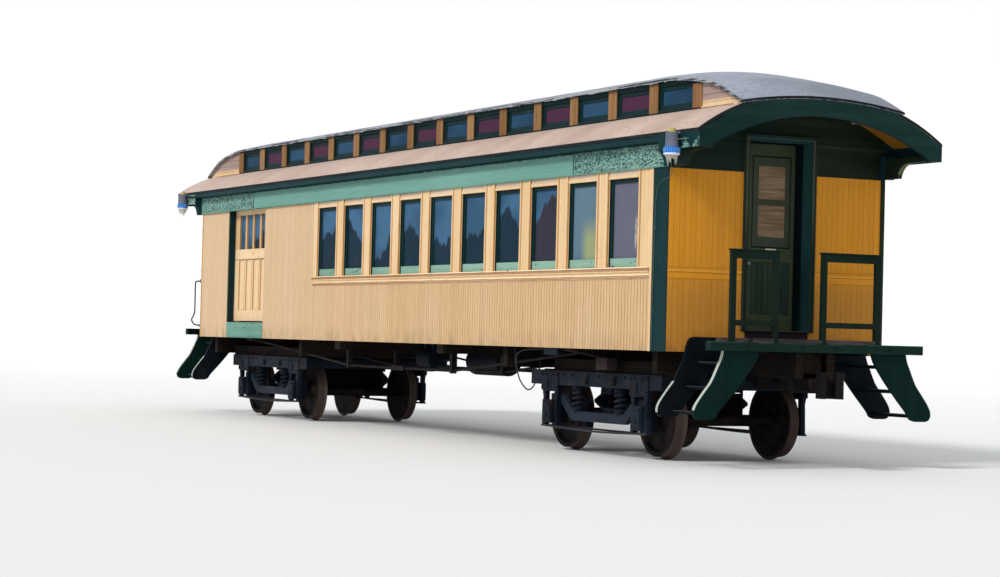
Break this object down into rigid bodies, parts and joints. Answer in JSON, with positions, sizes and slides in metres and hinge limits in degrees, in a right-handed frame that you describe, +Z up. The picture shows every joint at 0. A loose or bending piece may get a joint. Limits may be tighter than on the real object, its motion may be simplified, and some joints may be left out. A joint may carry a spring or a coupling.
{
  "type": "wooden caboose",
  "caption": "Old wooden clerestory railway car used as a caboose: open end platforms with steps, sliding baggage doors, swivel trucks and rolling wheels.",
  "frame": {"origin": "midway between the trucks on the middle plane, at the level of the wheel flanges' lowest points", "axes": "+X along the car towards the front platform, +Y to the car's left, +Z up"},
  "size_m": [17.181, 3.261, 4.3968],
  "materials": {
    "roof_paint": "matt paint on canvas over boards",
    "deck_paint": "weathered matt paint",
    "side_paint": "old gloss paint on vertical boards",
    "end_paint": "old satin paint on vertical boards",
    "trim_paint": "satin paint",
    "sash_wood": "old satin paint",
    "clear_glass": "old flat panes",
    "board_paint": "satin paint",
    "floor_wood": "bare worn boards",
    "frame_wood": "dirty timber and steel",
    "dark_iron": "dirty, rust in the corners",
    "wheel_steel": "rusty plates with polished treads",
    "rail_paint": "satin paint",
    "step_paint": "worn satin paint",
    "door_paint": "satin paint",
    "lamp_enamel": "worn enamel",
    "wire_sheath": "matt",
    "hardware_steel": "worn"
  },
  "bodies": {
    "car": {"upper_roof": "roof_paint", "lower_decks": "deck_paint", "clerestory_walls": "trim_paint", "clerestory_sashes": "sash_wood", "clerestory_glass": "clear_glass", "side_walls": "side_paint", "side_sashes": "sash_wood", "side_glass": "clear_glass", "letter_boards": "board_paint", "end_walls": "end_paint", "hoods": "trim_paint", "floor": "floor_wood", "underframe": "frame_wood", "truss_rods": "dark_iron", "underfloor_gear": "dark_iron", "partition": "end_paint", "door_hardware": "hardware_steel", "platforms": "floor_wood", "steps": "step_paint", "guard_rails": "rail_paint", "couplers": "dark_iron", "lamps": "lamp_enamel", "lamp_wire": "wire_sheath"},
    "truck_front": {"truck_frame_front": "dark_iron", "journal_boxes_front": "dark_iron", "equalizers_front": "dark_iron", "springs_front": "dark_iron", "truck_bolster_front": "dark_iron", "brake_beams_front": "dark_iron"},
    "wheelset_front_outer": {"wheelset_front_outer": "wheel_steel"},
    "wheelset_front_inner": {"wheelset_front_inner": "wheel_steel"},
    "truck_rear": {"truck_frame_rear": "dark_iron", "journal_boxes_rear": "dark_iron", "equalizers_rear": "dark_iron", "springs_rear": "dark_iron", "truck_bolster_rear": "dark_iron", "brake_beams_rear": "dark_iron"},
    "wheelset_rear_outer": {"wheelset_rear_outer": "wheel_steel"},
    "wheelset_rear_inner": {"wheelset_rear_inner": "wheel_steel"},
    "end_door_front": {"end_door_front": "door_paint"},
    "end_door_rear": {"end_door_rear": "door_paint"},
    "baggage_door_right": {"baggage_door_right": "side_paint", "baggage_glass_right": "clear_glass"},
    "baggage_door_left": {"baggage_door_left": "side_paint", "baggage_glass_left": "clear_glass"}
  },
  "joints": [
    {"name": "truck_front_swivel", "type": "hinge", "parent": "car", "child": "truck_front", "pos_m": [5.21, 0, 0], "axis": [0, 0, 1], "range_deg": [-4, 4]},
    {"name": "wheelset_front_outer_spin", "type": "hinge", "parent": "truck_front", "child": "wheelset_front_outer", "pos_m": [6.277, 0, 0.447], "axis": [0, 1, 0], "continuous": true},
    {"name": "wheelset_front_inner_spin", "type": "hinge", "parent": "truck_front", "child": "wheelset_front_inner", "pos_m": [4.143, 0, 0.447], "axis": [0, 1, 0], "continuous": true},
    {"name": "truck_rear_swivel", "type": "hinge", "parent": "car", "child": "truck_rear", "pos_m": [-5.21, 0, 0], "axis": [0, 0, 1], "range_deg": [-4, 4]},
    {"name": "wheelset_rear_outer_spin", "type": "hinge", "parent": "truck_rear", "child": "wheelset_rear_outer", "pos_m": [-6.277, 0, 0.447], "axis": [0, 1, 0], "continuous": true},
    {"name": "wheelset_rear_inner_spin", "type": "hinge", "parent": "truck_rear", "child": "wheelset_rear_inner", "pos_m": [-4.143, 0, 0.447], "axis": [0, 1, 0], "continuous": true},
    {"name": "end_door_front_hinge", "type": "hinge", "parent": "car", "child": "end_door_front", "pos_m": [7.061, 0.401, 2.4], "axis": [0, 0, -1], "range_deg": [0, 90]},
    {"name": "end_door_rear_hinge", "type": "hinge", "parent": "car", "child": "end_door_rear", "pos_m": [-7.061, 0.401, 2.4], "axis": [0, 0, 1], "range_deg": [0, 90]},
    {"name": "baggage_door_right_slide", "type": "slide", "parent": "car", "child": "baggage_door_right", "axis": [1, 0, 0], "range_m": [0, 1.5]},
    {"name": "baggage_door_left_slide", "type": "slide", "parent": "car", "child": "baggage_door_left", "axis": [1, 0, 0], "range_m": [0, 1.5]}
  ]
}
